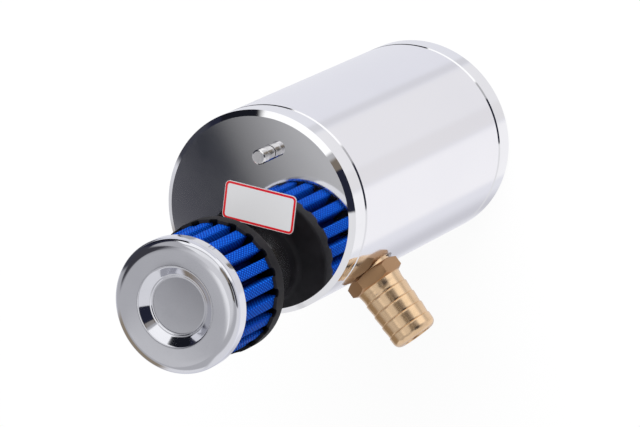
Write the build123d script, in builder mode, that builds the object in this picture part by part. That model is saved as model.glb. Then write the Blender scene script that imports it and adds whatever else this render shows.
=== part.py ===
from build123d import *
import os
from math import asin, cos, degrees, radians, sin, sqrt

os.makedirs("parts", exist_ok=True)

# Oil catch can: a capped aluminium can with a hose tail, a mounting stud and a breather filter.
# Millimetres, +Z along the can. The origin is the middle of the bottom cap's outer face.

# Can tube
can_diameter = 80.0
tube_length = 125.0
tube_wall = 4.0

# End caps, both turned to one drawing
cap_head_height = 11.0
cap_plate_thickness = 9.0
cap_edge_chamfer_width = 2.2
cap_edge_chamfer_height = 1.75
seam_chamfer = 0.8
spigot_length = 8.0
spigot_wall = 3.0
spigot_clearance = 0.05

# Rubber ring in each spigot's groove
seal_setback = 2.5
seal_groove_width = 2.8
seal_groove_depth = 1.8
seal_side_play = 0.2
seal_clearance = 0.05
seal_corner_chamfer = 0.6

# Places of the filter and the stud on the top cap, set in from the can's edge
filter_angle = -56.0
filter_setback = 14.7
stud_angle = 130.0
stud_setback = 15.6

# Mounting stud
stud_diameter = 6.0
stud_height = 8.8
stud_end_chamfer = 0.8
stud_engagement = 7.5
stud_core_diameter = 5.0
stud_relief = 0.4
stud_clearance = 0.03

# Label stuck on the top cap
label_length = 30.4
label_width = 15.2
label_thickness = 0.25
label_corner_radius = 2.0
label_shift = 2.3
label_side_shift = -0.35
label_tilt = 2.3

# Breather nipple
nipple_diameter = 19.0
nipple_bore = 15.0
nipple_height = 15.0
nipple_engagement = 6.0
nipple_end_chamfer = 0.8
press_clearance = 0.02

# Rubber base of the filter, with heights above the top cap's face
neck_diameter = 30.0
neck_lift = 0.3
neck_grip_clearance = 0.05
neck_root_radius = 2.5
base_rim_wall = 1.35
base_back_height = 16.2
base_edge_height = 17.8
base_floor_height = 21.5
base_front_height = 24.3
base_edge_chamfer = 0.7
notch_width = 4.0
notch_depth = 1.5

# Pleated element and the perforated tube inside it
pleat_count = 20
pleat_tip_diameter = 50.0
pleat_root_diameter = 35.0
pleat_rib_width = 4.5
pleat_root_gap = 2.2
pleat_turn = 6.0
pleat_sheet = 1.0
pleat_tip_radius = 0.8
element_height = 29.5
element_clearance = 0.05
support_wall = 0.6
support_clearance = 0.1
support_window_width = 5.0
support_window_height = 6.0
support_windows_around = 10
support_window_rows = 3

# Pressed filter cap and the sealing pad under it
filter_cap_clearance = 0.5
filter_cap_sheet = 0.8
filter_cap_lap = 1.0
filter_cap_height = 7.4
filter_cap_rim_radius = 3.6
face_fall = 0.35
dish_depth = 4.5
dish_lip_radius = 1.0
dish_wall_run = 1.8
dish_floor_width = 0.9
dish_floor_radius = 0.6
disc_diameter = 22.8
disc_rise = 1.0
disc_edge_run = 0.6
disc_edge_radius = 1.0
pad_clearance = 0.05

# Worm-drive clamp round the filter's neck
clamp_band_width = 7.6
clamp_band_thickness = 0.7
clamp_lift = 0.7
clamp_clearance = 0.05
clamp_angle = -101.0
clamp_housing_length = 9.0
clamp_housing_height = 6.0
clamp_housing_radius = 1.5
clamp_screw_diameter = 4.0
clamp_screw_length = 16.0
clamp_screw_head_flats = 6.0
clamp_screw_head_height = 3.5
clamp_screw_clearance = 0.05

# Brass hose tail, screwed into the tube's wall along +X
tail_height = 102.5
spot_face_depth = 1.4
spot_face_margin = 1.6
washer_thickness = 0.8
collar_diameter = 18.4
collar_height = 0.4
shank_diameter = 16.6
shank_reach = 1.5
shank_clearance = 0.03
hex_flats = 20.0
hex_height = 5.8
hex_chamfer_width = 2.0
hex_chamfer_height = 1.15
hex_turn = 20.0
barb_crest_diameter = 18.8
barb_root_diameter = 18.1
barb_neck_length = 4.9
barb_neck_flare = 0.5
barb_neck_flare_length = 2.8
barb_pitch = 5.1
barb_count = 4
barb_land = 0.6
nose_length = 5.3
nose_diameter = 18.6
nose_radius = 2.8
tail_bore = 12.0

# Places worked out from the sizes
can_radius = can_diameter / 2
bore_radius = can_radius - tube_wall
can_height = tube_length + 2 * cap_head_height
spigot_radius = bore_radius - spigot_clearance
recess_radius = spigot_radius - spigot_wall
groove_radius = spigot_radius - seal_groove_depth
filter_offset = can_radius - filter_setback
stud_offset = can_radius - stud_setback
filter_x = filter_offset * cos(radians(filter_angle))
filter_y = filter_offset * sin(radians(filter_angle))
stud_x = stud_offset * cos(radians(stud_angle))
stud_y = stud_offset * sin(radians(stud_angle))
filter_axis = Axis((filter_x, filter_y, can_height), (0, 0, 1))
filter_section = Plane((filter_x, filter_y, can_height), x_dir=(1, 0, 0), z_dir=(0, -1, 0))


def filter_level(height):
    """Level plane on the filter's axis, this far above the top cap's face."""
    return Plane((filter_x, filter_y, can_height + height))


def cap_section(face_z, inward):
    """Half section of an end cap whose outer face is at face_z and whose spigot points inward."""
    outline = [
        (0, 0),
        (can_radius - cap_edge_chamfer_width, 0),
        (can_radius, cap_edge_chamfer_height),
        (can_radius, cap_head_height - seam_chamfer),
        (can_radius - seam_chamfer, cap_head_height),
        (spigot_radius, cap_head_height),
        (spigot_radius, cap_head_height + seal_setback),
        (groove_radius, cap_head_height + seal_setback),
        (groove_radius, cap_head_height + seal_setback + seal_groove_width),
        (spigot_radius, cap_head_height + seal_setback + seal_groove_width),
        (spigot_radius, cap_head_height + spigot_length),
        (recess_radius, cap_head_height + spigot_length),
        (recess_radius, cap_plate_thickness),
        (0, cap_plate_thickness),
    ]
    with BuildSketch(Plane.XZ) as section:
        with BuildLine():
            Polyline([(r, face_z + inward * depth) for r, depth in outline], close=True)
        make_face()
    return section.sketch


def seal_section(face_z, inward):
    """Section of the rubber ring that sits in a cap's groove."""
    middle = face_z + inward * (cap_head_height + seal_setback + seal_groove_width / 2)
    inner = groove_radius + seal_clearance
    outer = bore_radius - seal_clearance
    with BuildSketch(Plane.XZ) as section:
        with Locations(((inner + outer) / 2, middle)):
            Rectangle(outer - inner, seal_groove_width - 2 * seal_side_play)
        chamfer(section.vertices(), seal_corner_chamfer)
    return section.sketch


# Tube, with its ends chamfered at the seams and a spot-faced hole for the hose tail
seat_x = can_radius - spot_face_depth
with BuildPart() as can_tube:
    with BuildSketch(Plane.XY.offset(cap_head_height)):
        Circle(can_radius)
        Circle(bore_radius, mode=Mode.SUBTRACT)
    extrude(amount=tube_length)
    chamfer(can_tube.faces().sort_by(SortBy.AREA)[-1].edges().filter_by(GeomType.CIRCLE), seam_chamfer)
    with BuildSketch(Plane((seat_x, 0, tail_height), z_dir=(1, 0, 0))):
        Circle(collar_diameter / 2 + spot_face_margin)
    extrude(amount=can_radius, mode=Mode.SUBTRACT)
    with BuildSketch(Plane((0, 0, tail_height), z_dir=(1, 0, 0))):
        Circle(shank_diameter / 2 + shank_clearance)
    extrude(amount=can_radius, mode=Mode.SUBTRACT)
can_tube.part.label = "can_tube"
export_step(can_tube.part, "parts/can_tube.step")

# Bottom cap
with BuildPart() as bottom_cap:
    revolve(cap_section(0, 1), axis=Axis.Z)
bottom_cap.part.label = "bottom_cap"
export_step(bottom_cap.part, "parts/bottom_cap.step")

# Top cap, bored for the nipple and drilled for the stud
with BuildPart() as top_cap:
    revolve(cap_section(can_height, -1), axis=Axis.Z)
    with BuildSketch(filter_level(0)):
        Circle(nipple_diameter / 2 + press_clearance)
    extrude(amount=-nipple_engagement, mode=Mode.SUBTRACT)
    with BuildSketch(filter_level(0)):
        Circle(nipple_bore / 2)
    extrude(amount=-(cap_head_height + spigot_length), mode=Mode.SUBTRACT)
    with BuildSketch(Plane((stud_x, stud_y, can_height))):
        Circle(stud_core_diameter / 2 + stud_clearance)
    extrude(amount=-stud_engagement, mode=Mode.SUBTRACT)
top_cap.part.label = "top_cap"
export_step(top_cap.part, "parts/top_cap.step")

# Seals
with BuildPart() as bottom_seal:
    revolve(seal_section(0, 1), axis=Axis.Z)
bottom_seal.part.label = "bottom_seal"
export_step(bottom_seal.part, "parts/bottom_seal.step")

with BuildPart() as top_seal:
    revolve(seal_section(can_height, -1), axis=Axis.Z)
top_seal.part.label = "top_seal"
export_step(top_seal.part, "parts/top_seal.step")

# Mounting stud, drawn at its core size where it is screwed in and in the relief above the cap
with BuildPart() as mounting_stud:
    with BuildSketch(Plane((stud_x, stud_y, can_height - stud_engagement))):
        Circle(stud_core_diameter / 2)
    extrude(amount=stud_engagement + stud_relief)
    with BuildSketch(Plane((stud_x, stud_y, can_height + stud_relief))):
        Circle(stud_diameter / 2)
    extrude(amount=stud_height - stud_relief)
    chamfer(mounting_stud.edges().sort_by(Axis.Z)[-1], stud_end_chamfer)
mounting_stud.part.label = "mounting_stud"
export_step(mounting_stud.part, "parts/mounting_stud.step")

# Label, between the stud and the filter and nearly square to the stud's direction
label_turn = radians(stud_angle - 90 + label_tilt)
label_x = label_shift * cos(radians(stud_angle)) + label_side_shift * sin(radians(stud_angle))
label_y = label_shift * sin(radians(stud_angle)) - label_side_shift * cos(radians(stud_angle))
with BuildPart() as label:
    with BuildSketch(Plane((label_x, label_y, can_height), x_dir=(cos(label_turn), sin(label_turn), 0))):
        RectangleRounded(label_length, label_width, label_corner_radius)
    extrude(amount=label_thickness)
label.part.label = "label"
export_step(label.part, "parts/label.step")

# Breather nipple
with BuildPart() as breather_nipple:
    with BuildSketch(filter_level(-nipple_engagement)):
        Circle(nipple_diameter / 2)
        Circle(nipple_bore / 2, mode=Mode.SUBTRACT)
    extrude(amount=nipple_engagement + nipple_height)
    chamfer(
        breather_nipple.edges().filter_by(GeomType.CIRCLE).group_by(Axis.Z)[-1].sort_by(SortBy.LENGTH)[-1],
        nipple_end_chamfer,
    )
breather_nipple.part.label = "breather_nipple"
export_step(breather_nipple.part, "parts/breather_nipple.step")

# Filter base: a thick neck that grips the nipple, and a cup with a rim notched between the pleats
neck_radius = neck_diameter / 2
neck_bore_radius = nipple_diameter / 2 + neck_grip_clearance
cup_radius = pleat_tip_diameter / 2 + element_clearance
base_radius = cup_radius + base_rim_wall
with BuildPart() as filter_base:
    with BuildSketch(filter_section) as section:
        with BuildLine():
            Polyline(
                (neck_bore_radius, neck_lift),
                (neck_radius, neck_lift),
                (neck_radius, base_back_height),
                (base_radius, base_edge_height),
                (base_radius, base_front_height),
                (cup_radius, base_front_height),
                (cup_radius, base_floor_height),
                (neck_bore_radius, base_floor_height),
                close=True,
            )
        make_face()
        fillet(section.vertices().sort_by_distance((neck_radius, base_back_height))[0], neck_root_radius)
        chamfer(section.vertices().sort_by_distance((base_radius, base_edge_height))[0], base_edge_chamfer)
    revolve(axis=filter_axis)
    notch_planes = []
    for pleat in range(pleat_count):
        notch_angle = radians(pleat_turn + (pleat + 0.5) * 360 / pleat_count)
        tangent = (-sin(notch_angle), cos(notch_angle), 0)
        outward = (cos(notch_angle), sin(notch_angle), 0)
        notch_planes.append(Plane(filter_level(base_front_height).origin, x_dir=tangent, z_dir=outward))
    with BuildSketch(*notch_planes):
        with Locations((0, notch_width / 2 - notch_depth)):
            Circle(notch_width / 2)
        with Locations((0, (notch_width - notch_depth) / 2)):
            Rectangle(notch_width, notch_depth)
    extrude(amount=2 * base_radius, mode=Mode.SUBTRACT)
filter_base.part.label = "filter_base"
export_step(filter_base.part, "parts/filter_base.step")


def pleat_outline(tip_radius, rib_width, root_radius, root_gap):
    """Corners of a ring of flat-topped ribs, four for each pleat."""
    pitch = 360 / pleat_count
    tip_half = degrees(asin(rib_width / 2 / tip_radius))
    gap_half = degrees(asin(root_gap / 2 / root_radius))
    corners = []
    for pleat in range(pleat_count):
        middle = pleat_turn + pleat * pitch
        places = (
            (root_radius, middle - pitch / 2 + gap_half),
            (tip_radius, middle - tip_half),
            (tip_radius, middle + tip_half),
            (root_radius, middle + pitch / 2 - gap_half),
        )
        for radius, angle in places:
            corners.append((radius * cos(radians(angle)), radius * sin(radians(angle))))
    return corners


# Pleated element: one folded sheet, standing on the floor of the base's cup
tip_radius = pleat_tip_diameter / 2
root_radius = pleat_root_diameter / 2
with BuildPart() as filter_element:
    with BuildSketch(filter_level(base_floor_height)) as section:
        with BuildLine():
            Polyline(pleat_outline(tip_radius, pleat_rib_width, root_radius, pleat_root_gap), close=True)
        make_face()
        outer_corners = section.vertices().filter_by(
            lambda corner: Vector(corner).length > (tip_radius + root_radius) / 2
        )
        fillet(outer_corners, pleat_tip_radius)
        with BuildLine():
            Polyline(
                pleat_outline(
                    tip_radius - pleat_sheet,
                    pleat_rib_width - 2 * pleat_sheet,
                    root_radius - pleat_sheet,
                    pleat_root_gap + 2 * pleat_sheet,
                ),
                close=True,
            )
        make_face(mode=Mode.SUBTRACT)
    extrude(amount=element_height)
filter_element.part.label = "filter_element"
export_step(filter_element.part, "parts/filter_element.step")

# Perforated tube that holds the pleats apart from inside, clear of the flats at their roots
root_flat_reach = sqrt((root_radius - pleat_sheet) ** 2 - (pleat_root_gap / 2 + pleat_sheet) ** 2)
support_radius = root_flat_reach - support_clearance
window_pitch = element_height / support_window_rows
with BuildPart() as filter_support:
    with BuildSketch(filter_level(base_floor_height)):
        Circle(support_radius)
        Circle(support_radius - support_wall, mode=Mode.SUBTRACT)
    extrude(amount=element_height)
    for row in range(support_window_rows):
        with Locations(filter_level(base_floor_height + (row + 0.5) * window_pitch)):
            with PolarLocations(support_radius, support_windows_around):
                Box(4 * support_wall, support_window_width, support_window_height, mode=Mode.SUBTRACT)
filter_support.part.label = "filter_support"
export_step(filter_support.part, "parts/filter_support.step")

# Pressed cap with a dish and a low disc in it, drawn as the outside line of one sheet
element_top = base_floor_height + element_height
cap_radius = tip_radius + filter_cap_clearance + filter_cap_sheet
cap_skirt_height = element_top - filter_cap_lap
cap_face_height = cap_skirt_height + filter_cap_height
dish_floor_height = cap_face_height - dish_depth
disc_radius = disc_diameter / 2
disc_foot_radius = disc_radius + disc_edge_run
dish_foot_radius = disc_foot_radius + dish_floor_width
with BuildPart() as filter_cap:
    with BuildSketch(filter_section):
        with BuildLine():
            sheet = FilletPolyline(
                (0, dish_floor_height + disc_rise),
                (disc_radius, dish_floor_height + disc_rise),
                (disc_foot_radius, dish_floor_height),
                (dish_foot_radius, dish_floor_height),
                (dish_foot_radius + dish_wall_run, cap_face_height),
                (cap_radius, cap_face_height - face_fall),
                (cap_radius, cap_skirt_height),
                radius=[
                    disc_edge_radius,
                    dish_floor_radius,
                    dish_floor_radius,
                    dish_lip_radius,
                    filter_cap_rim_radius,
                ],
            )
            offset(sheet, amount=filter_cap_sheet, side=Side.RIGHT)
        make_face()
    revolve(axis=filter_axis)
filter_cap.part.label = "filter_cap"
export_step(filter_cap.part, "parts/filter_cap.step")

# Pad that seals the upper ends of the pleats against the cap
with BuildPart() as filter_pad:
    with BuildSketch(filter_level(element_top)):
        Circle(cap_radius - filter_cap_sheet - pad_clearance)
    extrude(amount=dish_floor_height - filter_cap_sheet - element_top)
filter_pad.part.label = "filter_pad"
export_step(filter_pad.part, "parts/filter_pad.step")

# Clamp: a band, a screw housing on it and the screw that runs along the band's tangent
band_radius = neck_radius + clamp_clearance
band_outer_radius = band_radius + clamp_band_thickness
clamp_middle = clamp_lift + clamp_band_width / 2
clamp_out = Vector(cos(radians(clamp_angle)), sin(radians(clamp_angle)), 0)
clamp_along = Vector(-clamp_out.Y, clamp_out.X, 0)
clamp_centre = Vector(filter_x, filter_y, can_height + clamp_middle)
housing_top = band_outer_radius + clamp_housing_height
screw_centre = clamp_centre + clamp_out * (band_outer_radius + clamp_housing_height / 2)
screw_start = screw_centre - clamp_along * (clamp_screw_length / 2)

with BuildPart() as clamp_band:
    with BuildSketch(filter_level(clamp_lift)):
        Circle(band_outer_radius)
        Circle(band_radius, mode=Mode.SUBTRACT)
    extrude(amount=clamp_band_width)
clamp_band.part.label = "clamp_band"
export_step(clamp_band.part, "parts/clamp_band.step")

with BuildPart() as clamp_housing:
    with BuildSketch(Plane(clamp_centre, x_dir=clamp_along, z_dir=clamp_out)):
        Rectangle(clamp_housing_length, clamp_band_width)
    extrude(amount=housing_top)
    top_edges = clamp_housing.faces().sort_by_distance(clamp_centre + clamp_out * housing_top)[0].edges()
    fillet(top_edges.filter_by(Axis(clamp_centre, clamp_along)), clamp_housing_radius)
    with BuildSketch(filter_level(clamp_lift)):
        Circle(band_outer_radius + clamp_clearance)
    extrude(amount=clamp_band_width, mode=Mode.SUBTRACT)
    with BuildSketch(Plane(screw_start, z_dir=clamp_along)):
        Circle(clamp_screw_diameter / 2 + clamp_screw_clearance)
    extrude(amount=clamp_screw_length, mode=Mode.SUBTRACT)
clamp_housing.part.label = "clamp_housing"
export_step(clamp_housing.part, "parts/clamp_housing.step")

with BuildPart() as clamp_screw:
    with BuildSketch(Plane(screw_start, z_dir=clamp_along)):
        Circle(clamp_screw_diameter / 2)
    extrude(amount=clamp_screw_length)
    with BuildSketch(Plane(screw_start, z_dir=clamp_along)):
        RegularPolygon(clamp_screw_head_flats / 2, 6, major_radius=False)
    extrude(amount=-clamp_screw_head_height)
clamp_screw.part.label = "clamp_screw"
export_step(clamp_screw.part, "parts/clamp_screw.step")

# Sealing washer under the hose tail
with BuildPart() as tail_washer:
    with BuildSketch(Plane((seat_x, 0, tail_height), z_dir=(1, 0, 0))):
        Circle(collar_diameter / 2)
        Circle(shank_diameter / 2 + shank_clearance, mode=Mode.SUBTRACT)
    extrude(amount=washer_thickness)
tail_washer.part.label = "tail_washer"
export_step(tail_washer.part, "parts/tail_washer.step")

# Hose tail: hexagon first, then the turned form, then the bore
tail_axis = Axis((0, 0, tail_height), (1, 0, 0))
tail_section = Plane((0, 0, tail_height), x_dir=(1, 0, 0), z_dir=(0, -1, 0))
collar_x = seat_x + washer_thickness
hex_x = collar_x + collar_height
hex_end_x = hex_x + hex_height
shank_x = bore_radius - shank_reach
first_barb_x = hex_end_x + barb_neck_length
nose_x = first_barb_x + (barb_count - 1) * barb_pitch
tail_end_x = nose_x + nose_length
crest_radius = barb_crest_diameter / 2
barb_root_radius = barb_root_diameter / 2
tail_bore_radius = tail_bore / 2
with BuildPart() as hose_tail:
    with BuildSketch(Plane((hex_x, 0, tail_height), x_dir=(0, 1, 0), z_dir=(1, 0, 0))) as hexagon:
        RegularPolygon(hex_flats / 2, 6, major_radius=False, rotation=-hex_turn)
    hex_corner_radius = Vector(hexagon.vertices()[0]).length
    extrude(amount=hex_height)
    with BuildSketch(tail_section):
        with BuildLine():
            Polyline(
                (hex_x, 0),
                (hex_x, hex_corner_radius - hex_chamfer_width),
                (hex_x + hex_chamfer_height, hex_corner_radius),
                (hex_end_x - hex_chamfer_height, hex_corner_radius),
                (hex_end_x, hex_corner_radius - hex_chamfer_width),
                (hex_end_x, 0),
                close=True,
            )
        make_face()
    revolve(axis=tail_axis, mode=Mode.INTERSECT)
    outline = [
        (shank_x, 0),
        (shank_x, shank_diameter / 2),
        (collar_x, shank_diameter / 2),
        (collar_x, collar_diameter / 2),
        (hex_x, collar_diameter / 2),
        (hex_end_x, barb_root_radius + barb_neck_flare),
        (hex_end_x + barb_neck_flare_length, barb_root_radius),
    ]
    for barb in range(barb_count):
        barb_x = first_barb_x + barb * barb_pitch
        outline.append((barb_x, barb_root_radius))
        outline.append((barb_x, crest_radius))
        outline.append((barb_x + barb_land, crest_radius))
    outline.append((tail_end_x, nose_diameter / 2))
    outline.append((tail_end_x, 0))
    with BuildSketch(tail_section) as section:
        with BuildLine():
            Polyline(outline, close=True)
        make_face()
        fillet(section.vertices().sort_by_distance((tail_end_x, nose_diameter / 2))[0], nose_radius)
    revolve(axis=tail_axis)
    with BuildSketch(Plane((shank_x, 0, tail_height), z_dir=(1, 0, 0))):
        Circle(tail_bore_radius)
    extrude(amount=tail_end_x - shank_x, mode=Mode.SUBTRACT)
hose_tail.part.label = "hose_tail"
export_step(hose_tail.part, "parts/hose_tail.step")
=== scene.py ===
import bpy
import math
from mathutils import Matrix, Vector


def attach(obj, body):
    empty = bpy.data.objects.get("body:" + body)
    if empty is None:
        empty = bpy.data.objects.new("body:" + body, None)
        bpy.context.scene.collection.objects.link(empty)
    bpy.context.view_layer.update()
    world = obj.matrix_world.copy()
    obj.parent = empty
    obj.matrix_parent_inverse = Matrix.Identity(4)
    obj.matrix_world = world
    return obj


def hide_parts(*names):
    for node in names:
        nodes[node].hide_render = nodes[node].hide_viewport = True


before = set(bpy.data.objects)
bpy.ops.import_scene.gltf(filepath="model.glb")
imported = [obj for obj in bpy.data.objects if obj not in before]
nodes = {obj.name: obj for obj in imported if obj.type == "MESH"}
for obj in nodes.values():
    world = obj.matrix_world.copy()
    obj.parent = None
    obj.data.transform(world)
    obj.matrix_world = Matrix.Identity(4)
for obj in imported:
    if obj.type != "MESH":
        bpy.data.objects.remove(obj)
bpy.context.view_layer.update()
print("frame loaded with", len(nodes), "nodes")

mm = 0.001
scene = bpy.context.scene
scene.view_settings.view_transform = "Standard"

# places on the face of the top cap: the breather filter's axis and the stud's
filterCentre = Vector((14.1476, -20.9747, 147.0)) * mm
studCentre = Vector((-15.684, 18.6915, 147.0)) * mm


# small helpers for node trees

def feed(tree, socket, value):
    if isinstance(value, bpy.types.NodeSocket):
        tree.links.new(value, socket)
    elif value is not None:
        socket.default_value = value


def calc(tree, operation, first, second=None, third=None):
    node = tree.nodes.new("ShaderNodeMath")
    node.operation = operation
    for socket, value in zip(node.inputs, (first, second, third)):
        feed(tree, socket, value)
    return node.outputs[0]


def ramp(tree, value, low, high, toLow=0.0, toHigh=1.0):
    node = tree.nodes.new("ShaderNodeMapRange")
    node.interpolation_type = "SMOOTHSTEP"
    labels = ("Value", "From Min", "From Max", "To Min", "To Max")
    for label, setting in zip(labels, (value, low, high, toLow, toHigh)):
        feed(tree, node.inputs[label], setting)
    return node.outputs["Result"]


def blendColour(tree, factor, first, second):
    node = tree.nodes.new("ShaderNodeMix")
    node.data_type = "RGBA"
    feed(tree, node.inputs["Factor"], factor)
    feed(tree, node.inputs["A"], first)
    feed(tree, node.inputs["B"], second)
    return node.outputs["Result"]


def newGroup(name, inputs, outputs):
    group = bpy.data.node_groups.new(name, "ShaderNodeTree")
    for label, kind in inputs:
        group.interface.new_socket(label, in_out="INPUT", socket_type="NodeSocket" + kind)
    for label, kind in outputs:
        group.interface.new_socket(label, in_out="OUTPUT", socket_type="NodeSocket" + kind)
    return group, group.nodes.new("NodeGroupInput").outputs, group.nodes.new("NodeGroupOutput").inputs


def placeGroup(tree, group, **values):
    node = tree.nodes.new("ShaderNodeGroup")
    node.node_tree = group
    for label, value in values.items():
        feed(tree, node.inputs[label], value)
    return node.outputs


def noise(tree, vector, scale, detail, roughness):
    node = tree.nodes.new("ShaderNodeTexNoise")
    feed(tree, node.inputs["Vector"], vector)
    feed(tree, node.inputs["Scale"], scale)
    feed(tree, node.inputs["Detail"], detail)
    feed(tree, node.inputs["Roughness"], roughness)
    return node.outputs["Fac"]


def patches(tree, vector, scale, look):
    # noise sharpened into patches
    cloud = noise(tree, vector, scale, look["detail"], look["roughness"])
    return ramp(tree, cloud, *look["edges"])


def vectorOf(tree, x=0.0, y=0.0, z=0.0):
    node = tree.nodes.new("ShaderNodeCombineXYZ")
    for socket, value in zip(node.inputs, (x, y, z)):
        feed(tree, socket, value)
    return node.outputs[0]


# around: the distance from a piece's axis, the angle round it and the height along it
around, inside, result = newGroup(
    "around", [("Vector", "Vector")], [("Radius", "Float"), ("Angle", "Float"), ("Height", "Float")],
)
parts = around.nodes.new("ShaderNodeSeparateXYZ")
feed(around, parts.inputs[0], inside["Vector"])
flat = vectorOf(around, parts.outputs["X"], parts.outputs["Y"])
length = around.nodes.new("ShaderNodeVectorMath")
length.operation = "LENGTH"
feed(around, length.inputs[0], flat)
feed(around, result["Radius"], length.outputs["Value"])
feed(around, result["Angle"], calc(around, "ARCTAN2", parts.outputs["Y"], parts.outputs["X"]))
feed(around, result["Height"], parts.outputs["Z"])

# toolMarks: fine lines left by polishing or turning, and soft smears over them
markPatches = {"detail": 3.0, "roughness": 0.6, "edges": (0.3, 0.7)}
smearPatches = {"detail": 4.0, "roughness": 0.55, "edges": (0.4, 0.72)}
toolMarks, inside, result = newGroup(
    "toolMarks",
    [("Lines", "Vector"), ("Place", "Vector"), ("Smear Scale", "Float")],
    [("Marks", "Float"), ("Smears", "Float")],
)
feed(toolMarks, result["Marks"], patches(toolMarks, inside["Lines"], 1.0, markPatches))
feed(toolMarks, result["Smears"], patches(toolMarks, inside["Place"], inside["Smear Scale"], smearPatches))


def newFinish(name, colour, roughness, metallic):
    material = bpy.data.materials.new(name)
    material.use_nodes = True
    tree = material.node_tree
    shader = tree.nodes["Principled BSDF"]
    shader.inputs["Base Color"].default_value = (*colour, 1.0)
    shader.inputs["Roughness"].default_value = roughness
    shader.inputs["Metallic"].default_value = metallic
    return material, tree, shader


def placeFrom(tree, centre=(0.0, 0.0, 0.0), turn=(0.0, 0.0, 0.0)):
    where = tree.nodes.new("ShaderNodeTexCoord")
    mapping = tree.nodes.new("ShaderNodeMapping")
    mapping.vector_type = "TEXTURE"
    mapping.inputs["Location"].default_value = centre
    mapping.inputs["Rotation"].default_value = turn
    feed(tree, mapping.inputs["Vector"], where.outputs["Object"])
    return mapping.outputs["Vector"]


def bumpFrom(tree, height, strength, distance):
    node = tree.nodes.new("ShaderNodeBump")
    node.inputs["Strength"].default_value = strength
    node.inputs["Distance"].default_value = distance
    feed(tree, node.inputs["Height"], height)
    return node.outputs["Normal"]


# metals: lines run along the piece, or round it where it was turned
markDepth = 0.02 * mm
bandBlur = 0.1 * mm  # half of the soft edge of a band on a metal
grimeBlur = 0.2  # radians; the soft edge of the painted shade on one side of a piece


def metalFinish(name, look):
    material, tree, shader = newFinish(name, look["colour"], look["roughness"], 1.0)
    place = placeFrom(tree, look["centre"], look["turn"])
    polar = placeGroup(tree, around, Vector=place)
    acrossLines, alongLines = look["lines"]
    lines = vectorOf(
        tree,
        calc(tree, "MULTIPLY", polar["Radius"], acrossLines[0]),
        calc(tree, "MULTIPLY", polar["Angle"], acrossLines[1]),
        calc(tree, "MULTIPLY", polar["Height"], alongLines),
    )
    marks = placeGroup(tree, toolMarks, **{"Lines": lines, "Place": place, "Smear Scale": look["smearScale"]})
    rough = calc(tree, "MULTIPLY_ADD", marks["Marks"], look["markRoughness"], look["roughness"])
    rough = calc(tree, "MULTIPLY_ADD", marks["Smears"], look["smearRoughness"], rough)
    feed(tree, shader.inputs["Roughness"], rough)
    tint = blendColour(tree, marks["Smears"], (*look["colour"], 1.0), (*look["smearColour"], 1.0))
    if "dull" in look:
        # a band along the piece that is darker and rougher
        dullFrom, dullTo, dullColour, dullRoughness = look["dull"]
        dull = calc(
            tree, "MULTIPLY", ramp(tree, polar["Height"], dullFrom - bandBlur, dullFrom + bandBlur),
            ramp(tree, polar["Height"], dullTo - bandBlur, dullTo + bandBlur, 1.0, 0.0),
        )
        tint = blendColour(tree, dull, tint, (*dullColour, 1.0))
        feed(tree, shader.inputs["Roughness"], calc(tree, "MULTIPLY_ADD", dull, dullRoughness, rough))
    if "grime" in look:
        # painted shade: one side of the piece painted darker, and not its end
        grimeAngle, grimeHalf, grimeRadius, grimeColour = look["grime"]
        offAngle = calc(tree, "ABSOLUTE", calc(tree, "SUBTRACT", polar["Angle"], grimeAngle))
        grime = calc(
            tree, "MULTIPLY", ramp(tree, offAngle, grimeHalf, grimeHalf + grimeBlur, 1.0, 0.0),
            ramp(tree, polar["Radius"], grimeRadius - bandBlur, grimeRadius + bandBlur),
        )
        tint = blendColour(tree, grime, tint, (*grimeColour, 1.0))
    feed(tree, shader.inputs["Base Color"], tint)
    feed(tree, shader.inputs["Normal"], bumpFrom(tree, marks["Marks"], look["bump"], markDepth))
    return material


# lines: across the piece by radius and by angle, then along it
# dull: from, to, colour, added roughness; painted side shade: angle, half width, from radius, colour
satinLook = {
    "colour": (0.905, 0.90, 0.925), "smearColour": (0.89, 0.885, 0.915), "roughness": 0.09,
    "centre": (0, 0, 0), "turn": (0, 0, 0), "lines": ((0.0, 900.0), 60.0),
    "smearScale": 14.0, "markRoughness": 0.04, "smearRoughness": 0.03, "bump": 0.01,
}
mirrorLook = {
    "colour": (0.90, 0.90, 0.915), "smearColour": (0.88, 0.88, 0.895), "roughness": 0.035,
    "centre": (0, 0, 0), "turn": (0, 0, 0), "lines": ((2600.0, 0.6), 2600.0),
    "smearScale": 40.0, "markRoughness": 0.0, "smearRoughness": 0.012, "bump": 0.0,
}
chromeLook = {
    "colour": (0.78, 0.785, 0.83), "smearColour": (0.75, 0.755, 0.80), "roughness": 0.06,
    "centre": tuple(filterCentre), "turn": (0, 0, 0), "lines": ((1500.0, 2.0), 1500.0),
    "smearScale": 60.0, "markRoughness": 0.0, "smearRoughness": 0.03, "bump": 0.0,
}
brassLook = {
    "colour": (0.87, 0.625, 0.395), "smearColour": (0.81, 0.57, 0.345), "roughness": 0.20,
    "centre": (0, 0, 0.1025), "turn": (0, math.radians(90), 0), "lines": ((1500.0, 0.5), 5200.0),
    "smearScale": 160.0, "markRoughness": 0.04, "smearRoughness": 0.05, "bump": 0.0,
    "dull": (0.0398, 0.0456, (0.50, 0.30, 0.16), 0.12),
}
steelLook = {
    "colour": (0.86, 0.85, 0.86), "smearColour": (0.80, 0.79, 0.80), "roughness": 0.12,
    "centre": tuple(studCentre), "turn": (0, 0, 0), "lines": ((1500.0, 1.0), 4000.0),
    "smearScale": 200.0, "markRoughness": 0.05, "smearRoughness": 0.05, "bump": 0.02,
    # painted shade: a dark band along one side of the stud's flank, not on its end face
    "grime": (-0.25, 0.42, 0.0026, (0.06, 0.06, 0.06)),
}
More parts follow.
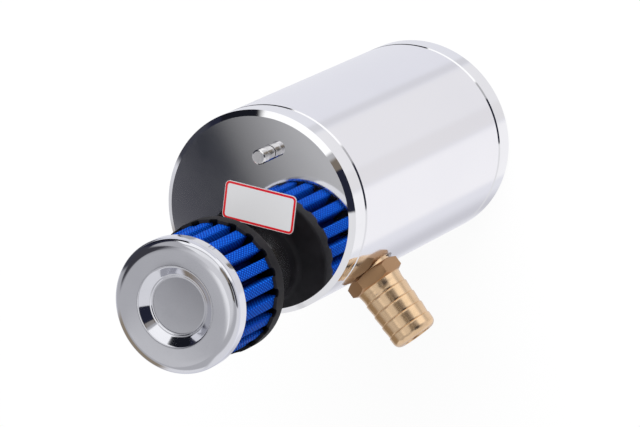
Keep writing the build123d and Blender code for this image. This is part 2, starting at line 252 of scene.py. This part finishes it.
bandLook = {
    "colour": (0.62, 0.62, 0.635), "smearColour": (0.52, 0.52, 0.54), "roughness": 0.10,
    "centre": tuple(filterCentre), "turn": (0, 0, 0), "lines": ((800.0, 2.0), 6000.0),
    "smearScale": 120.0, "markRoughness": 0.05, "smearRoughness": 0.06, "bump": 0.02,
}
satinAluminium = metalFinish("satinAluminium", satinLook)
polishedAluminium = metalFinish("polishedAluminium", mirrorLook)
chromePlate = metalFinish("chromePlate", chromeLook)
turnedBrass = metalFinish("turnedBrass", brassLook)
studSteel = metalFinish("studSteel", steelLook)
clampSteel = metalFinish("clampSteel", bandLook)
supportSteel = metalFinish("supportSteel", {**bandLook, "roughness": 0.35})
print("metals made")

# rubber: matt and finely grained
rubberLook = {
    # deep: the painted shade colour in the notches of the rim
    "colour": (0.009, 0.0085, 0.0105), "pale": (0.016, 0.0155, 0.018), "deep": (0.0006, 0.0006, 0.0008),
    "roughness": (0.45, 0.65), "specular": 0.18,
    "grain": 2400.0, "grainDetail": 3.0, "grainRoughness": 0.6, "grainBump": 0.25, "grainDepth": 0.06 * mm,
    "bloom": 90.0, "bloomPatches": {"detail": 4.0, "roughness": 0.6, "edges": (0.35, 0.7)},
    "rimRadius": (0.02605, 0.02625), "rimHeight": (0.0236, 0.0239), "notchFloor": (0.018, 0.020),
}


def rubberFinish(name, look):
    lowRoughness, highRoughness = look["roughness"]
    material, tree, shader = newFinish(name, look["colour"], lowRoughness, 0.0)
    place = placeFrom(tree)
    shader.inputs["Specular IOR Level"].default_value = look["specular"]
    grain = noise(tree, place, look["grain"], look["grainDetail"], look["grainRoughness"])
    bloom = patches(tree, place, look["bloom"], look["bloomPatches"])
    tint = blendColour(tree, bloom, (*look["colour"], 1.0), (*look["pale"], 1.0))
    # painted shade: dark in the notches of the rim, where the pale bloom is left out
    polar = placeGroup(tree, around, Vector=placeFrom(tree, tuple(filterCentre)))
    within = ramp(tree, polar["Radius"], *look["rimRadius"], 1.0, 0.0)
    under = ramp(tree, polar["Height"], *look["rimHeight"], 1.0, 0.0)
    above = ramp(tree, polar["Height"], *look["notchFloor"])
    notch = calc(tree, "MULTIPLY", calc(tree, "MULTIPLY", within, under), above)
    feed(tree, shader.inputs["Base Color"], blendColour(tree, notch, tint, (*look["deep"], 1.0)))
    rough = calc(tree, "MULTIPLY_ADD", grain, highRoughness - lowRoughness, lowRoughness)
    feed(tree, shader.inputs["Roughness"], rough)
    feed(tree, shader.inputs["Normal"], bumpFrom(tree, grain, look["grainBump"], look["grainDepth"]))
    return material


filterRubber = rubberFinish("filterRubber", rubberLook)
sealLook = {**rubberLook, "colour": (0.02, 0.02, 0.02), "pale": (0.03, 0.03, 0.03)}
sealRubber = rubberFinish("sealRubber", sealLook)

# gauze: blue threads crossing, darker between them, with painted shade darkening the pleats towards their
# roots
gauzeLook = {
    "colour": (0.0004, 0.044, 0.355), "bright": (0.006, 0.15, 0.70),
    # deep: between the threads; fold: the painted shade colour towards the roots of the pleats
    "deep": (0.0003, 0.026, 0.225), "fold": (0.0003, 0.005, 0.075),
    "roughness": 0.7, "specular": 0.06, "tipRadius": 0.025, "warpPitch": 0.0014, "weftPitch": 0.0021,
    "raised": (0.2, 0.9), "sunk": (-0.8, -0.05), "bump": 0.45, "depth": 0.1 * mm,
    "foldShadeFrom": 0.0165, "foldShadeTo": 0.0249,
}


def gauzeFinish(name, look):
    material, tree, shader = newFinish(name, look["colour"], look["roughness"], 0.0)
    shader.inputs["Specular IOR Level"].default_value = look["specular"]
    polar = placeGroup(tree, around, Vector=placeFrom(tree, tuple(filterCentre)))
    # the threads are counted round a rib's face and down its flanks alike
    along = calc(tree, "MULTIPLY_ADD", polar["Angle"], look["tipRadius"], polar["Radius"])
    warp = calc(tree, "SINE", calc(tree, "MULTIPLY", along, 2 * math.pi / look["warpPitch"]))
    weft = calc(tree, "SINE", calc(tree, "MULTIPLY", polar["Height"], 2 * math.pi / look["weftPitch"]))
    weave = calc(tree, "MULTIPLY", warp, weft)
    raised = ramp(tree, weave, *look["raised"])
    sunk = ramp(tree, weave, *look["sunk"], 1.0, 0.0)
    colour = blendColour(tree, raised, (*look["colour"], 1.0), (*look["bright"], 1.0))
    colour = blendColour(tree, sunk, colour, (*look["deep"], 1.0))
    # painted shade: darker towards the roots of the pleats
    foldShade = ramp(tree, polar["Radius"], look["foldShadeFrom"], look["foldShadeTo"], 1.0, 0.0)
    feed(tree, shader.inputs["Base Color"], blendColour(tree, foldShade, colour, (*look["fold"], 1.0)))
    feed(tree, shader.inputs["Normal"], bumpFrom(tree, weave, look["bump"], look["depth"]))
    return material


filterGauze = gauzeFinish("filterGauze", gauzeLook)

# label: white printed film with a red edge line
labelLook = {
    "centre": (-0.00175, 0.00154, 0.147), "turn": math.radians(42.3),
    "half": (0.0152, 0.0076), "corner": 0.002,
    "film": (0.55, 0.55, 0.56), "red": (0.50, 0.012, 0.018), "roughness": 0.25,
    "edgeFrom": 0.0001, "edgeWidth": 0.0009, "edgeBlur": 0.0001,
}


def labelFinish(name, look):
    material, tree, shader = newFinish(name, look["film"], look["roughness"], 0.0)
    place = placeFrom(tree, look["centre"], (0, 0, look["turn"]))
    split = tree.nodes.new("ShaderNodeSeparateXYZ")
    feed(tree, split.inputs[0], place)
    # how far a point lies past the straight sides, squared and added, gives its distance from the edge
    squares = []
    for axis, half in zip(("X", "Y"), look["half"]):
        past = calc(tree, "SUBTRACT", calc(tree, "ABSOLUTE", split.outputs[axis]), half - look["corner"])
        past = calc(tree, "MAXIMUM", past, 0.0)
        squares.append(calc(tree, "MULTIPLY", past, past))
    inward = calc(tree, "SUBTRACT", look["corner"], calc(tree, "SQRT", calc(tree, "ADD", *squares)))
    edgeFrom, edgeTo = look["edgeFrom"], look["edgeFrom"] + look["edgeWidth"]
    start = ramp(tree, inward, edgeFrom, edgeFrom + look["edgeBlur"])
    end = ramp(tree, inward, edgeTo, edgeTo + look["edgeBlur"], 1.0, 0.0)
    border = calc(tree, "MULTIPLY", start, end)
    tint = blendColour(tree, border, (*look["film"], 1.0), (*look["red"], 1.0))
    feed(tree, shader.inputs["Base Color"], tint)
    return material


labelFilm = labelFinish("labelFilm", labelLook)
print("other finishes made")

finishes = {
    "can_tube": satinAluminium, "bottom_cap": polishedAluminium, "top_cap": polishedAluminium,
    "bottom_seal": sealRubber, "top_seal": sealRubber, "mounting_stud": studSteel, "label": labelFilm,
    "breather_nipple": satinAluminium, "filter_base": filterRubber, "filter_element": filterGauze,
    "filter_support": supportSteel, "filter_pad": filterRubber, "filter_cap": chromePlate,
    "clamp_band": clampSteel, "clamp_housing": clampSteel, "clamp_screw": clampSteel,
    "tail_washer": turnedBrass, "hose_tail": turnedBrass,
}
for name, finish in finishes.items():
    for materialSlot in nodes[name].material_slots:
        materialSlot.material = finish
print("finishes put on", len(finishes), "nodes")

# modelling helpers
samePlace = 0.02 * mm  # a corner is found again within this
sameVertex = 0.002 * mm  # vertices nearer than this are merged
roundSegments = 6


def clearSelection():
    bpy.ops.object.select_all(action="DESELECT")


def drawLine(name, corners):
    # edges through corners of (x, y, z, rounding) in mm, started from a small plane merged to one point
    clearSelection()
    bpy.ops.mesh.primitive_plane_add(size=mm, location=(0, 0, 0))
    piece = bpy.context.object
    piece.name = piece.data.name = name
    points = [Vector(corner[:3]) * mm for corner in corners]
    bpy.ops.object.mode_set(mode="EDIT")
    bpy.ops.mesh.select_all(action="SELECT")
    bpy.ops.mesh.merge(type="CENTER")
    bpy.ops.transform.translate(value=points[0])
    for point, nextPoint in zip(points, points[1:]):
        bpy.ops.mesh.extrude_vertices_move(TRANSFORM_OT_translate={"value": nextPoint - point})
    for index, corner in enumerate(corners):
        if corner[3]:
            turn = (points[index] - points[index - 1]).angle(points[index + 1] - points[index])
            pick(piece, lambda place: (place - points[index]).length < samePlace)
            offset = corner[3] * mm * math.tan(turn / 2)
            bpy.ops.mesh.bevel(offset=offset, segments=roundSegments, affect="VERTICES")
    return piece


def pick(piece, test):
    # selects the vertices whose place passes the test, and nothing else
    bpy.ops.mesh.select_all(action="DESELECT")
    bpy.ops.object.mode_set(mode="OBJECT")
    for vertex in piece.data.vertices:
        vertex.select = test(vertex.co)
    bpy.ops.object.mode_set(mode="EDIT")


def tidyMesh():
    bpy.ops.mesh.select_all(action="SELECT")
    bpy.ops.mesh.remove_doubles(threshold=sameVertex)
    bpy.ops.mesh.normals_make_consistent(inside=False)


def spinRound(steps):
    bpy.ops.mesh.select_all(action="SELECT")
    bpy.ops.mesh.spin(steps=steps, angle=2 * math.pi, center=(0, 0, 0), axis=(0, 0, 1))
    tidyMesh()
    bpy.ops.object.mode_set(mode="OBJECT")


def useModifier(piece, kind, **settings):
    modifier = piece.modifiers.new(kind.lower(), kind)
    for setting, value in settings.items():
        setattr(modifier, setting, value)
    bpy.context.view_layer.objects.active = piece
    bpy.ops.object.modifier_apply(modifier=modifier.name)


def copiesRound(piece, count, turn=0.0):
    # copies round the Z axis, each with its own mesh, joined into one
    clearSelection()
    for index in range(count):
        copy = piece.copy()
        copy.data = piece.data.copy()
        copy.rotation_euler = (0, 0, math.radians(turn + index * 360.0 / count))
        scene.collection.objects.link(copy)
        copy.select_set(True)
    bpy.context.view_layer.objects.active = copy
    bpy.ops.object.transform_apply(location=True, rotation=True, scale=True)
    bpy.ops.object.join()
    bpy.data.objects.remove(piece)
    return bpy.context.object


def settle(piece, centre, finish, slot, smoothAngle, *replaced):
    # puts the finished piece in its place, with the place in its mesh
    clearSelection()
    piece.select_set(True)
    bpy.context.view_layer.objects.active = piece
    piece.location = centre
    bpy.ops.object.transform_apply(location=True, rotation=True, scale=True)
    bpy.ops.object.shade_smooth_by_angle(angle=math.radians(smoothAngle))
    piece.data.materials.clear()
    piece.data.materials.append(finish)
    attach(piece, "root")
    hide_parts(*replaced)
    print(piece.name, "made with", len(piece.data.polygons), "faces")


# pleated gauze: one fold drawn from root to root, pulled up, copied round and given its thickness
pleats = {
    "count": 20, "turn": 6.0, "tip": 25.0, "root": 17.5, "rib": 4.5, "gap": 2.2,
    "tipRound": 0.9, "rootRound": 0.5,
    "sheet": 0.6, "from": 21.5, "height": 29.5, "flatLength": 416.0, "rows": 6, "smoothAngle": 40,
}


def onCircle(radius, angle, rounding):
    return (radius * math.cos(angle), radius * math.sin(angle), 0.0, rounding)


halfPitch = math.pi / pleats["count"]
tipHalf = math.asin(pleats["rib"] / 2 / pleats["tip"])
rootHalf = halfPitch - math.asin(pleats["gap"] / 2 / pleats["root"])
fold = drawLine("fold", [
    onCircle(pleats["root"], -halfPitch, 0), onCircle(pleats["root"], -rootHalf, pleats["rootRound"]),
    onCircle(pleats["tip"], -tipHalf, pleats["tipRound"]), onCircle(pleats["tip"], 0.0, 0),
    onCircle(pleats["tip"], tipHalf, pleats["tipRound"]),
    onCircle(pleats["root"], rootHalf, pleats["rootRound"]), onCircle(pleats["root"], halfPitch, 0),
])
bpy.ops.mesh.select_all(action="SELECT")
rowHeight = pleats["height"] / pleats["rows"] * mm
for row in range(pleats["rows"]):
    bpy.ops.mesh.extrude_region_move(TRANSFORM_OT_translate={"value": (0, 0, rowHeight)})
bpy.ops.object.mode_set(mode="OBJECT")
gauze = copiesRound(fold, pleats["count"], pleats["turn"])
gauze.name = gauze.data.name = "pleatedGauze"
bpy.ops.object.mode_set(mode="EDIT")
tidyMesh()
bpy.ops.object.mode_set(mode="OBJECT")
useModifier(gauze, "SOLIDIFY", thickness=pleats["sheet"] * mm, offset=-1.0)
gauzeCentre = filterCentre + Vector((0, 0, pleats["from"] * mm))
settle(gauze, gauzeCentre, filterGauze, "filter_gauze", pleats["smoothAngle"], "filter_element")

# rubber base: a turned cup with a notch cut through its rim at each valley of the pleats
cup = {
    "outline": [
        (9.55, 0, 0.3, 0), (15.0, 0, 0.3, 0.5), (15.0, 0, 16.2, 2.5), (26.4, 0, 17.8, 1.0),
        (26.4, 0, 24.3, 0), (25.05, 0, 24.3, 0), (25.05, 0, 21.5, 0), (9.55, 0, 21.5, 0), (9.55, 0, 0.3, 0),
    ],
    "steps": 160, "notch": 2.0, "notchSides": 32, "notchHeight": 24.8, "notchReach": 25.7, "notchLength": 5.0,
    "softEdge": 0.3, "softSegments": 3, "softAngle": 40, "smoothAngle": 35,
}
rubberBase = drawLine("rubberBase", cup["outline"])
spinRound(cup["steps"])
clearSelection()
bpy.ops.mesh.primitive_cylinder_add(
    vertices=cup["notchSides"], radius=cup["notch"] * mm, depth=cup["notchLength"] * mm,
    location=Vector((cup["notchReach"], 0, cup["notchHeight"])) * mm, rotation=(0, math.radians(90), 0),
)
bpy.ops.object.transform_apply(location=True, rotation=True, scale=True)
notches = copiesRound(bpy.context.object, pleats["count"], pleats["turn"] + 180.0 / pleats["count"])
useModifier(rubberBase, "BOOLEAN", operation="DIFFERENCE", object=notches, solver="EXACT")
bpy.data.objects.remove(notches)
useModifier(
    rubberBase, "BEVEL", width=cup["softEdge"] * mm, segments=cup["softSegments"],
    limit_method="ANGLE", angle_limit=math.radians(cup["softAngle"]),
)
settle(rubberBase, filterCentre, filterRubber, "filter_rubber", cup["smoothAngle"], "filter_base")

# pressed cap: one sheet with a dish and a low disc in it, turned and given its thickness
pressedCap = {
    "outline": [
        (0, 0, 53.9, 0), (10.65, 0, 53.9, 0), (11.35, 0, 53.9, 0.4), (11.65, 0, 54.2, 0.2),
        (12.15, 0, 54.23, 0.3), (12.55, 0, 54.605, 0), (15.05, 0, 56.948, 0), (15.5, 0, 57.37, 0.8),
        (16.35, 0, 57.35, 0), (20.5, 0, 57.24, 0), (24.0, 0, 57.04, 6.0),
        (26.3, 0, 55.4, 2.2), (26.3, 0, 52.6, 0), (26.3, 0, 50.0, 0),
    ],
    "steps": 180, "sheet": 0.8, "smoothAngle": 40,
}
chromeCap = drawLine("chromeCap", pressedCap["outline"])
spinRound(pressedCap["steps"])
useModifier(chromeCap, "SOLIDIFY", thickness=pressedCap["sheet"] * mm, offset=-1.0)
settle(chromeCap, filterCentre, chromePlate, "chrome_sheet", pressedCap["smoothAngle"], "filter_cap")

# stud: a turned shank with a core into the cap, and a thread at its free end
stud = {
    "crest": 2.95, "core": 2.5, "land": 0.12, "pitch": 0.8, "turns": 8, "leadIn": 1.5, "spare": 0.2,
    "relief": 0.4, "plain": 5.2, "height": 8.8, "chamfer": 0.6, "edgeRound": 0.1, "depth": 7.5,
    "steps": 48, "smoothAngle": 30,
}
crest, core = stud["crest"], stud["core"]
halfThread = stud["pitch"] / 2
# one ridge, screwed upwards from below the plain shank's end and cut to a chamfered blank
thread = drawLine("threadedStud", [
    (core, 0, -halfThread, 0), (crest, 0, -stud["land"], 0),
    (crest, 0, stud["land"], 0), (core, 0, halfThread, 0),
])
bpy.ops.mesh.select_all(action="SELECT")
bpy.ops.transform.translate(value=(0, 0, (stud["plain"] - stud["leadIn"]) * mm))
bpy.ops.object.mode_set(mode="OBJECT")
useModifier(
    thread, "SCREW", axis="Z", angle=2 * math.pi, screw_offset=stud["pitch"] * mm,
    iterations=stud["turns"], steps=stud["steps"], render_steps=stud["steps"],
)
bpy.ops.object.mode_set(mode="EDIT")
tidyMesh()
for level, above in ((stud["plain"] - stud["spare"], False), (stud["height"] + stud["spare"], True)):
    bpy.ops.mesh.select_all(action="SELECT")
    bpy.ops.mesh.bisect(
        plane_co=(0, 0, level * mm), plane_no=(0, 0, 1), use_fill=True,
        clear_outer=above, clear_inner=not above,
    )
tidyMesh()
bpy.ops.object.mode_set(mode="OBJECT")
blank = drawLine("studBlank", [
    (0, 0, stud["plain"], 0), (crest + stud["spare"], 0, stud["plain"], 0),
    (crest + stud["spare"], 0, stud["height"] - stud["chamfer"] - stud["spare"], 0),
    (crest - stud["chamfer"], 0, stud["height"], 0), (0, 0, stud["height"], 0),
])
spinRound(stud["steps"])
useModifier(thread, "BOOLEAN", operation="INTERSECT", object=blank, solver="EXACT")
bpy.data.objects.remove(blank)
shank = drawLine("studShank", [
    (0, 0, stud["plain"], 0), (crest, 0, stud["plain"], stud["edgeRound"]),
    (crest, 0, stud["relief"], stud["edgeRound"]), (core, 0, stud["relief"], 0),
    (core, 0, -stud["depth"], 0), (0, 0, -stud["depth"], 0),
])
spinRound(stud["steps"])
shank.select_set(True)
thread.select_set(True)
bpy.context.view_layer.objects.active = thread
bpy.ops.object.join()
settle(thread, studCentre, studSteel, "stud_steel", stud["smoothAngle"], "mounting_stud")

# hose tail: a turned body with its bore, and a hexagon with chamfered corners, both with softened edges
tail = {
    "height": 102.5, "bore": 6.0, "boreRound": 0.25, "shank": (34.5, 8.3), "collar": (39.4, 39.8, 9.2),
    "hexFrom": 39.8, "hexTo": 45.6, "flats": 20.0, "turn": 35.0, "hexChamfer": (2.0, 1.15), "hexSpare": 2.0,
    "neck": (9.55, 48.4, 8.0), "root": 9.05, "crest": 9.4, "land": 0.6, "rings": (50.5, 55.6, 60.7, 65.8),
    "end": 71.1, "nose": 9.3, "noseRound": 2.8, "overlap": 0.5, "hexBoreDepth": 12.0,
    "softEdge": 0.25, "softSegments": 3, "softAngle": 20, "steps": 96, "smoothAngle": 30,
}
shankFrom, shankRadius = tail["shank"]
collarFrom, collarTo, collarRadius = tail["collar"]
neckRadius, neckTo, neckRound = tail["neck"]
root, crest, land = tail["root"], tail["crest"], tail["land"]
# the outline and each ring in it, as (radius, place along the tail, rounding)
outline = [
    (tail["bore"], shankFrom, 0), (shankRadius, shankFrom, 0), (shankRadius, collarFrom, 0),
    (collarRadius, collarFrom, 0), (collarRadius, collarTo, 0),
    (neckRadius, tail["hexTo"], 0), (root, neckTo, neckRound),
]
ringOutline = [
    (root + 0.04, -0.85, 0), (root, -0.35, 0), (root - 0.12, -0.1, 0),
    (crest, 0, 0.12), (crest, land, 0.3), (crest - 0.04, land + 0.5, 0),
]
for ring in tail["rings"]:
    outline += [(radius, ring + place, rounding) for radius, place, rounding in ringOutline]
outline += [
    (tail["nose"], tail["end"], tail["noseRound"]), (tail["bore"], tail["end"], tail["boreRound"]),
    (tail["bore"], shankFrom, 0),
]
brassTail = drawLine("brassTail", [(radius, 0, place, rounding) for radius, place, rounding in outline])
spinRound(tail["steps"])
cornerRadius = tail["flats"] / math.sqrt(3)
chamferIn, chamferUp = tail["hexChamfer"]
hexShape = drawLine("hexShape", [
    (0, 0, tail["hexFrom"], 0), (cornerRadius - chamferIn, 0, tail["hexFrom"], 0),
    (cornerRadius, 0, tail["hexFrom"] + chamferUp, 0), (cornerRadius, 0, tail["hexTo"] - chamferUp, 0),
    (cornerRadius - chamferIn, 0, tail["hexTo"], 0), (0, 0, tail["hexTo"], 0),
])
spinRound(tail["steps"])
hexMiddle = (0, 0, (tail["hexFrom"] + tail["hexTo"]) / 2 * mm)
clearSelection()
bpy.ops.mesh.primitive_cylinder_add(
    vertices=6, radius=cornerRadius * mm, depth=(tail["hexTo"] - tail["hexFrom"] + tail["hexSpare"]) * mm,
    location=hexMiddle, rotation=(0, 0, math.radians(tail["turn"])),
)
hexBlock = bpy.context.object
bpy.ops.object.transform_apply(location=True, rotation=True, scale=True)
useModifier(hexBlock, "BOOLEAN", operation="INTERSECT", object=hexShape, solver="EXACT")
clearSelection()
bpy.ops.mesh.primitive_cylinder_add(
    vertices=tail["steps"], radius=(root - tail["overlap"]) * mm,
    depth=tail["hexBoreDepth"] * mm, location=hexMiddle,
)
hexBore = bpy.context.object
bpy.ops.object.transform_apply(location=True, rotation=True, scale=True)
useModifier(hexBlock, "BOOLEAN", operation="DIFFERENCE", object=hexBore, solver="EXACT")
useModifier(
    hexBlock, "BEVEL", width=tail["softEdge"] * mm, segments=tail["softSegments"],
    limit_method="ANGLE", angle_limit=math.radians(tail["softAngle"]),
)
for helper in (hexShape, hexBore):
    bpy.data.objects.remove(helper)
clearSelection()
hexBlock.select_set(True)
brassTail.select_set(True)
bpy.context.view_layer.objects.active = brassTail
bpy.ops.object.join()
brassTail.rotation_euler = (0, math.radians(90), 0)
tailCentre = Vector((0, 0, tail["height"] * mm))
settle(brassTail, tailCentre, turnedBrass, "brass", tail["smoothAngle"], "hose_tail")
print("pieces made")

# studio: pale all round, with white and dark cards that the polished metal shows
studio = {
    "above": (0.48, 0.48, 0.495), "below": (0.80, 0.805, 0.86), "overhead": (0.74, 0.74, 0.75),
    "aboveFrom": (-14.0, 8.0), "overheadFrom": (62.0, 74.0),
    # azimuth, half width, elevation, half height, softness, colour
    "cards": [
        (0.0, 40.0, 18.0, 26.0, 8.0, (0.80, 0.80, 0.82)),
        (135.0, 33.0, 25.0, 22.0, 4.0, (1.12, 1.12, 1.12)),
        (141.0, 32.0, 63.0, 6.0, 6.0, (0.95, 0.95, 0.95)),
        (84.0, 7.0, 42.0, 5.0, 5.0, (0.20, 0.17, 0.14)),
        (62.0, 19.0, 33.0, 13.0, 3.0, (0.018, 0.020, 0.036)),
        (94.0, 14.0, 0.0, 16.0, 6.0, (1.15, 1.15, 1.15)),
        (87.0, 15.0, 58.0, 4.0, 5.0, (0.22, 0.185, 0.145)),
        (58.0, 16.0, 61.0, 4.0, 3.0, (0.075, 0.07, 0.06)),
        (192.0, 18.0, 15.0, 20.0, 5.0, (0.020, 0.022, 0.040)),
        (173.0, 21.0, 8.0, 15.0, 3.0, (0.010, 0.011, 0.016)),
        (216.0, 9.0, 12.0, 24.0, 6.0, (0.050, 0.052, 0.068)),
        (213.0, 17.0, -28.0, 14.0, 6.0, (0.10, 0.10, 0.11)),
        (-80.0, 25.0, 73.0, 4.0, 5.0, (0.95, 0.95, 0.95)),
        (-88.0, 10.0, 47.0, 8.0, 6.0, (0.62, 0.62, 0.63)),
        (-62.0, 14.0, 12.0, 12.0, 6.0, (0.82, 0.82, 0.84)),
        (-137.0, 12.0, 44.0, 12.0, 10.0, (0.05, 0.05, 0.06)),
        (-100.0, 24.0, -24.0, 10.0, 10.0, (0.62, 0.62, 0.65)),
        (-92.0, 12.0, 2.0, 18.0, 8.0, (0.30, 0.25, 0.19)),
        # the dark line across the polished top of the can
        (-102.6, 3.0, 60.0, 0.22, 1.1, (0.16, 0.16, 0.165)),
        (-102.8, 2.0, 59.6, 0.30, 0.32, (0.075, 0.075, 0.09)),
        (-103.0, 1.5, 60.02, 0.12, 0.30, (0.018, 0.02, 0.03)),
        # bands of the floor round the can, as the tube shows them
        (18.0, 29.0, -61.0, 20.0, 10.0, (0.95, 0.945, 0.97)),
        (-56.0, 3.0, -61.0, 20.0, 27.0, (0.61, 0.61, 0.66)),
        (66.0, 8.0, -61.0, 20.0, 8.0, (0.805, 0.795, 0.815)),
        (104.0, 24.0, -61.0, 20.0, 8.0, (0.85, 0.845, 0.87)),
        (139.0, 2.0, -61.0, 20.0, 6.0, (0.70, 0.70, 0.74)),
        (92.0, 20.0, -34.0, 5.0, 5.0, (0.60, 0.60, 0.62)),
    ],
}


def degreesToRadians(values):
    return [math.radians(value) for value in values]


studioCard, inside, result = newGroup(
    "studioCard",
    [
        ("Azimuth", "Float"), ("Elevation", "Float"), ("Under", "Color"), ("Card", "Color"),
        ("Card Azimuth", "Float"), ("Half Width", "Float"),
        ("Card Elevation", "Float"), ("Half Height", "Float"), ("Softness", "Float"),
    ],
    [("Colour", "Color")],
)
turned = calc(studioCard, "SUBTRACT", inside["Azimuth"], inside["Card Azimuth"])
turnAway = calc(studioCard, "ARCCOSINE", calc(studioCard, "COSINE", turned))
risen = calc(studioCard, "SUBTRACT", inside["Elevation"], inside["Card Elevation"])
riseAway = calc(studioCard, "ABSOLUTE", risen)
sideEnd = calc(studioCard, "ADD", inside["Half Width"], inside["Softness"])
riseEnd = calc(studioCard, "ADD", inside["Half Height"], inside["Softness"])
sideMask = ramp(studioCard, turnAway, inside["Half Width"], sideEnd, 1.0, 0.0)
riseMask = ramp(studioCard, riseAway, inside["Half Height"], riseEnd, 1.0, 0.0)
cardMask = calc(studioCard, "MULTIPLY", sideMask, riseMask)
feed(studioCard, result["Colour"], blendColour(studioCard, cardMask, inside["Under"], inside["Card"]))

world = bpy.data.worlds.new("studio")
scene.world = world
world.use_nodes = True
tree = world.node_tree
background = tree.nodes["Background"]
split = tree.nodes.new("ShaderNodeSeparateXYZ")
feed(tree, split.inputs[0], tree.nodes.new("ShaderNodeTexCoord").outputs["Generated"])
azimuth = calc(tree, "ARCTAN2", split.outputs["Y"], split.outputs["X"])
elevation = calc(tree, "ARCSINE", split.outputs["Z"])
aboveMask = ramp(tree, elevation, *degreesToRadians(studio["aboveFrom"]))
colour = blendColour(tree, aboveMask, (*studio["below"], 1.0), (*studio["above"], 1.0))
overheadMask = ramp(tree, elevation, *degreesToRadians(studio["overheadFrom"]))
colour = blendColour(tree, overheadMask, colour, (*studio["overhead"], 1.0))
for *place, cardColour in studio["cards"]:
    cardAzimuth, halfWidth, cardElevation, halfHeight, softness = degreesToRadians(place)
    card = {
        "Azimuth": azimuth, "Elevation": elevation, "Under": colour, "Card": (*cardColour, 1.0),
        "Card Azimuth": cardAzimuth, "Half Width": halfWidth,
        "Card Elevation": cardElevation, "Half Height": halfHeight, "Softness": softness,
    }
    colour = placeGroup(tree, studioCard, **card)["Colour"]
lightPath = tree.nodes.new("ShaderNodeLightPath")
backdrop = blendColour(tree, lightPath.outputs["Is Camera Ray"], colour, (1.0, 1.0, 1.0, 1.0))
feed(tree, background.inputs["Color"], backdrop)
background.inputs["Strength"].default_value = 1.0
print("studio made")

# floor: white to the camera, and it still takes the can's soft shadow
floorLook = {
    "size": 12.0, "drop": 0.1, "colour": (0.93, 0.93, 0.93), "roughness": 0.9, "specular": 0.1, "glow": 0.93,
}
clearSelection()
bpy.ops.mesh.primitive_plane_add(size=floorLook["size"], location=(0, 0, -floorLook["drop"] * mm))
floor = bpy.context.object
floor.name = "studioFloor"
floorPaper, tree, shader = newFinish("floorPaper", floorLook["colour"], floorLook["roughness"], 0.0)
shader.inputs["Specular IOR Level"].default_value = floorLook["specular"]
glow = tree.nodes.new("ShaderNodeEmission")
glow.inputs["Color"].default_value = (1, 1, 1, 1)
mix = tree.nodes.new("ShaderNodeMixShader")
lightPath = tree.nodes.new("ShaderNodeLightPath")
feed(tree, mix.inputs["Fac"], calc(tree, "MULTIPLY", lightPath.outputs["Is Camera Ray"], floorLook["glow"]))
feed(tree, mix.inputs[1], shader.outputs[0])
feed(tree, mix.inputs[2], glow.outputs[0])
feed(tree, tree.nodes["Material Output"].inputs["Surface"], mix.outputs[0])
floor.data.materials.append(floorPaper)
floor.visible_glossy = False  # the metal shows the studio below it instead

# lamps: one large soft box above, from the upper edge of the picture
lampLook = {
    "azimuth": 130.0, "elevation": 52.0, "distance": 1.5, "aimHeight": 0.1, "size": 1.1, "power": 26.0,
}
aim = Vector((0, 0, lampLook["aimHeight"]))
turn, rise = degreesToRadians((lampLook["azimuth"], lampLook["elevation"]))
outward = Vector((math.cos(turn) * math.cos(rise), math.sin(turn) * math.cos(rise), math.sin(rise)))
softBox = bpy.data.lights.new("softBox", "AREA")
softBox.size = lampLook["size"]
softBox.energy = lampLook["power"]
lamp = bpy.data.objects.new("softBox", softBox)
lamp.location = aim + outward * lampLook["distance"]
lamp.rotation_euler = outward.to_track_quat("Z", "Y").to_euler()
lamp.visible_glossy = False
scene.collection.objects.link(lamp)
print("floor and lamp placed")

# camera: looks down at the top cap, rolled so that the can points to the upper right
cameraLook = {
    "place": (0.1885, 0.9121, 1.7782), "right": (0.5834, 0.685, -0.4363), "up": (-0.8068, 0.5506, -0.2144),
    "lens": 276.75, "sensor": 36.0, "shift": (0.0003, -0.0023), "seesTo": 50.0,
}
right = Vector(cameraLook["right"]).normalized()
up = Vector(cameraLook["up"])
up = (up - right * up.dot(right)).normalized()
cameraData = bpy.data.cameras.new("camera")
cameraData.lens = cameraLook["lens"]
cameraData.sensor_width = cameraLook["sensor"]
cameraData.shift_x, cameraData.shift_y = cameraLook["shift"]
cameraData.clip_end = cameraLook["seesTo"]
camera = bpy.data.objects.new("camera", cameraData)
facing = Matrix((right, up, right.cross(up))).transposed().to_4x4()
camera.matrix_world = Matrix.Translation(cameraLook["place"]) @ facing
scene.collection.objects.link(camera)
scene.camera = camera
print("camera placed")
